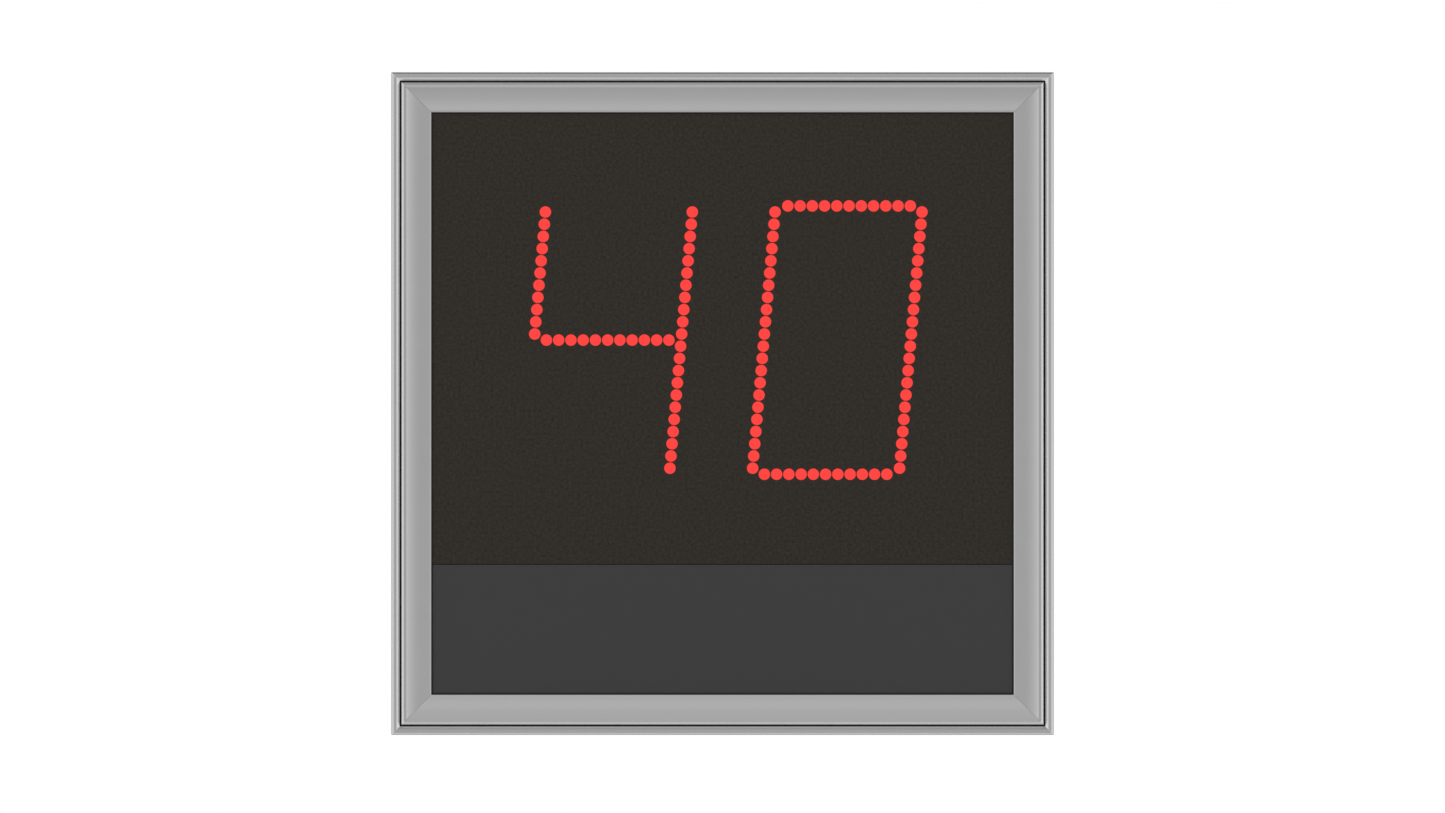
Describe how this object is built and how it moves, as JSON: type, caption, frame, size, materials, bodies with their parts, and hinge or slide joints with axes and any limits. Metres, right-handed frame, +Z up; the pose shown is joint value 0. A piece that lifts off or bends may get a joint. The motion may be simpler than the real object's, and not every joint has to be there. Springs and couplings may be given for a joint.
{
  "type": "solar speed sign",
  "caption": "Square aluminium solar speed sign: LED digits over a solar strip on a hinged door, battery case behind and a band-on pole bracket.",
  "frame": {"origin": "middle of the pole bracket's rear face", "axes": "+Y away from the driver, out of the bracket's rear face; +Z up; +X to the driver's right"},
  "size_m": [0.6, 0.16, 0.6],
  "materials": {
    "satin_aluminium": "satin anodised",
    "mill_aluminium": "mill finish",
    "mask_black": "fine matt texture",
    "solar_grey": "anti-glare, matt",
    "seal_rubber": "matt",
    "gasket_foam": "closed-cell foam",
    "led_lit": "glowing red lenses on a black bar",
    "led_unlit": "smoked lenses on a black bar",
    "circuit_board": "green solder mask",
    "zinc_steel": "bright zinc plated",
    "galvanised_steel": "hot-dip galvanised",
    "grey_plastic": "moulded",
    "black_plastic": "moulded",
    "controller_black": "black anodised, finned",
    "battery_case": "moulded ABS",
    "cable_jacket": "matt",
    "red_plastic": "moulded"
  },
  "bodies": {
    "case": {"case_wall_bottom": "satin_aluminium", "case_wall_right": "satin_aluminium", "case_wall_top": "satin_aluminium", "case_wall_left": "satin_aluminium", "back_panel": "satin_aluminium", "case_gasket": "gasket_foam", "vent_plug": "black_plastic", "cable_gland": "black_plastic", "lock_housing_upper": "zinc_steel", "lock_housing_lower": "zinc_steel", "mounting_plate": "zinc_steel", "battery": "battery_case", "battery_bracket": "zinc_steel", "control_unit": "grey_plastic", "charge_controller": "controller_black", "hinge_leaf_case": "mill_aluminium", "hinge_pin": "zinc_steel", "door_loom": "cable_jacket", "rear_rail_upper": "mill_aluminium", "rear_rail_lower": "mill_aluminium", "pole_bracket": "galvanised_steel"},
    "door": {"door_rim_bottom": "satin_aluminium", "door_rim_right": "satin_aluminium", "door_rim_top": "satin_aluminium", "door_rim_left": "satin_aluminium", "door_bezel_bottom": "satin_aluminium", "door_bezel_right": "satin_aluminium", "door_bezel_top": "satin_aluminium", "door_bezel_left": "satin_aluminium", "groove_seal": "seal_rubber", "display_mask": "mask_black", "solar_module": "solar_grey", "seam_bar": "mill_aluminium", "solar_junction_box": "black_plastic", "radar_sensor": "grey_plastic", "tens_segment_a": "led_unlit", "tens_segment_b": "led_lit", "tens_segment_c": "led_lit", "tens_segment_d": "led_unlit", "tens_segment_e": "led_unlit", "tens_segment_f": "led_lit", "tens_segment_g": "led_lit", "tens_board": "circuit_board", "units_segment_a": "led_lit", "units_segment_b": "led_lit", "units_segment_c": "led_lit", "units_segment_d": "led_lit", "units_segment_e": "led_lit", "units_segment_f": "led_lit", "units_segment_g": "led_unlit", "units_board": "circuit_board", "cross_rail_upper": "mill_aluminium", "cross_rail_lower": "mill_aluminium", "hinge_leaf_door": "mill_aluminium", "striker_upper": "zinc_steel", "striker_lower": "zinc_steel"},
    "upper_lock": {"lock_cam_upper": "zinc_steel"},
    "lower_lock": {"lock_cam_lower": "zinc_steel"},
    "rocker": {"power_rocker": "black_plastic"},
    "button": {"test_button": "red_plastic"}
  },
  "joints": [
    {"name": "door_hinge", "type": "hinge", "parent": "case", "child": "door", "pos_m": [-0.2962, -0.131, 0], "axis": [0, 0, -1], "range_deg": [0, 115], "deforming": ["door_loom"]},
    {"name": "upper_lock_turn", "type": "hinge", "parent": "case", "child": "upper_lock", "pos_m": [0.28, -0.112, 0.15], "axis": [1, 0, 0], "range_deg": [0, 90]},
    {"name": "lower_lock_turn", "type": "hinge", "parent": "case", "child": "lower_lock", "pos_m": [0.28, -0.112, -0.15], "axis": [1, 0, 0], "range_deg": [0, 90]},
    {"name": "rocker_tilt", "type": "hinge", "parent": "case", "child": "rocker", "pos_m": [0.045, -0.0985, 0.15], "axis": [1, 0, 0], "range_deg": [0, 20]},
    {"name": "button_press", "type": "slide", "parent": "case", "child": "button", "axis": [0, 1, 0], "range_m": [0, 0.0018], "stiffness_N_per_m": 400}
  ]
}
